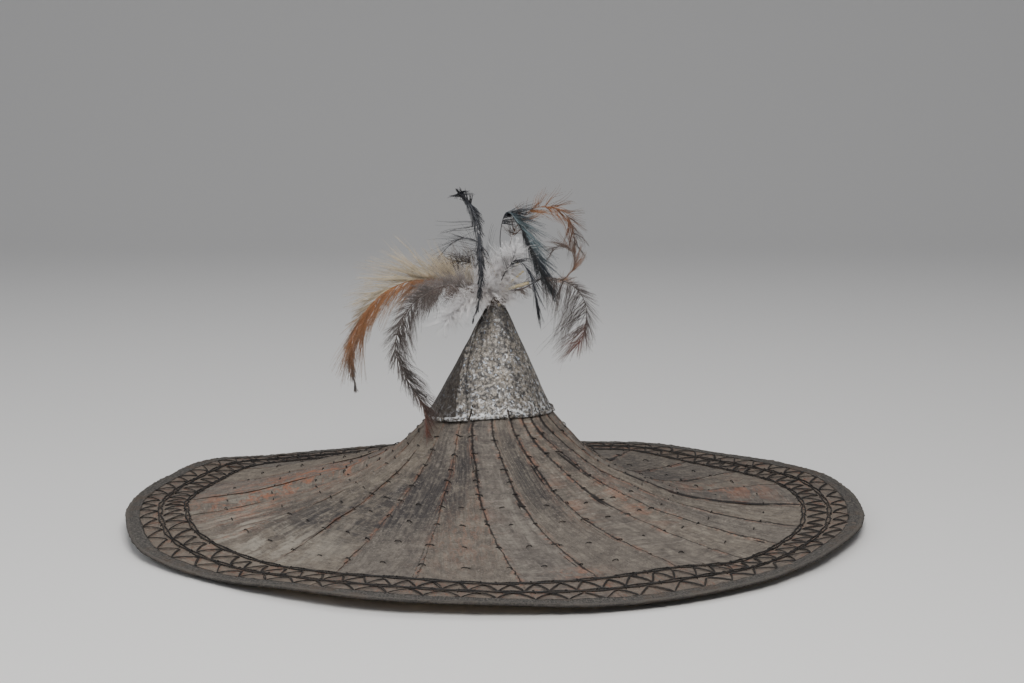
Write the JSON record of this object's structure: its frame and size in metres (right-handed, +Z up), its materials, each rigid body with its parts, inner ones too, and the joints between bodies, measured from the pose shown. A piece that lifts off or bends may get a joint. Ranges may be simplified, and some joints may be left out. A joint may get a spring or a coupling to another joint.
{
  "type": "conical hat",
  "caption": "Wide flared hat of sewn palm-leaf strips with a stitched border, a sheet-metal cap and a feather plume.",
  "frame": {"origin": "under the middle of the hat, on the surface its brim rests on", "axes": "+Z up along the crown's axis, -Y the front, +X to the wearer's left"},
  "size_m": [0.5707, 0.5706, 0.2556],
  "materials": {
    "palm_leaf": "dry weathered leaf, ribbed",
    "lining_leaf": "dry leaf, ribbed",
    "cane": "split cane",
    "rattan_ring": "smooth cane band",
    "binding_strip": "weathered strip",
    "dark_thread": "waxed twisted thread",
    "cord": "twisted cord",
    "tin_sheet": "corroded tinned sheet",
    "bamboo": "bare stick",
    "quill": "horn-like quill",
    "grey_down": "soft down",
    "black_feather": "soft sheen",
    "brown_feather": "soft sheen"
  },
  "bodies": {
    "root": {"border_cords_inner": "dark_thread", "border_cords_middle": "dark_thread", "border_zigzag_inner": "dark_thread", "border_zigzag_outer": "dark_thread", "brim_hoops": "cane", "cap_stitches": "dark_thread", "crown_hoops": "cane", "crown_tip_binding": "cord", "down_tufts": "grey_down", "feather_back_black": "black_feather", "feather_black_arched": "black_feather", "feather_black_hanging": "black_feather", "feather_black_right": "black_feather", "feather_brown_curl": "brown_feather", "feather_brown_droop": "brown_feather", "feather_brown_short": "brown_feather", "feather_left_brown": "brown_feather", "feather_left_orange": "brown_feather", "feather_orange_right": "brown_feather", "head_ring": "rattan_ring", "head_ring_ties": "cord", "leaf_panel_01": "palm_leaf", "leaf_panel_02": "palm_leaf", "leaf_panel_03": "palm_leaf", "leaf_panel_04": "palm_leaf", "leaf_panel_05": "palm_leaf", "leaf_panel_06": "palm_leaf", "leaf_panel_07": "palm_leaf", "leaf_panel_08": "palm_leaf", "leaf_panel_09": "palm_leaf", "leaf_panel_10": "palm_leaf", "leaf_panel_11": "palm_leaf", "leaf_panel_12": "palm_leaf", "leaf_panel_13": "palm_leaf", "leaf_panel_14": "palm_leaf", "leaf_panel_15": "palm_leaf", "leaf_panel_16": "palm_leaf", "leaf_panel_17": "palm_leaf", "leaf_panel_18": "palm_leaf", "leaf_panel_19": "palm_leaf", "leaf_panel_20": "palm_leaf", "leaf_panel_21": "palm_leaf", "leaf_panel_22": "palm_leaf", "leaf_panel_23": "palm_leaf", "leaf_panel_24": "palm_leaf", "lining_leaf_01": "lining_leaf", "lining_leaf_02": "lining_leaf", "lining_leaf_03": "lining_leaf", "lining_leaf_04": "lining_leaf", "lining_leaf_05": "lining_leaf", "lining_leaf_06": "lining_leaf", "lining_leaf_07": "lining_leaf", "lining_leaf_08": "lining_leaf", "metal_cap": "tin_sheet", "plume_binding": "cord", "plume_stick": "bamboo", "quill_stubs": "quill", "rim_binding": "binding_strip", "rim_hoop": "cane", "seam_stitches": "dark_thread"}
  },
  "joints": []
}
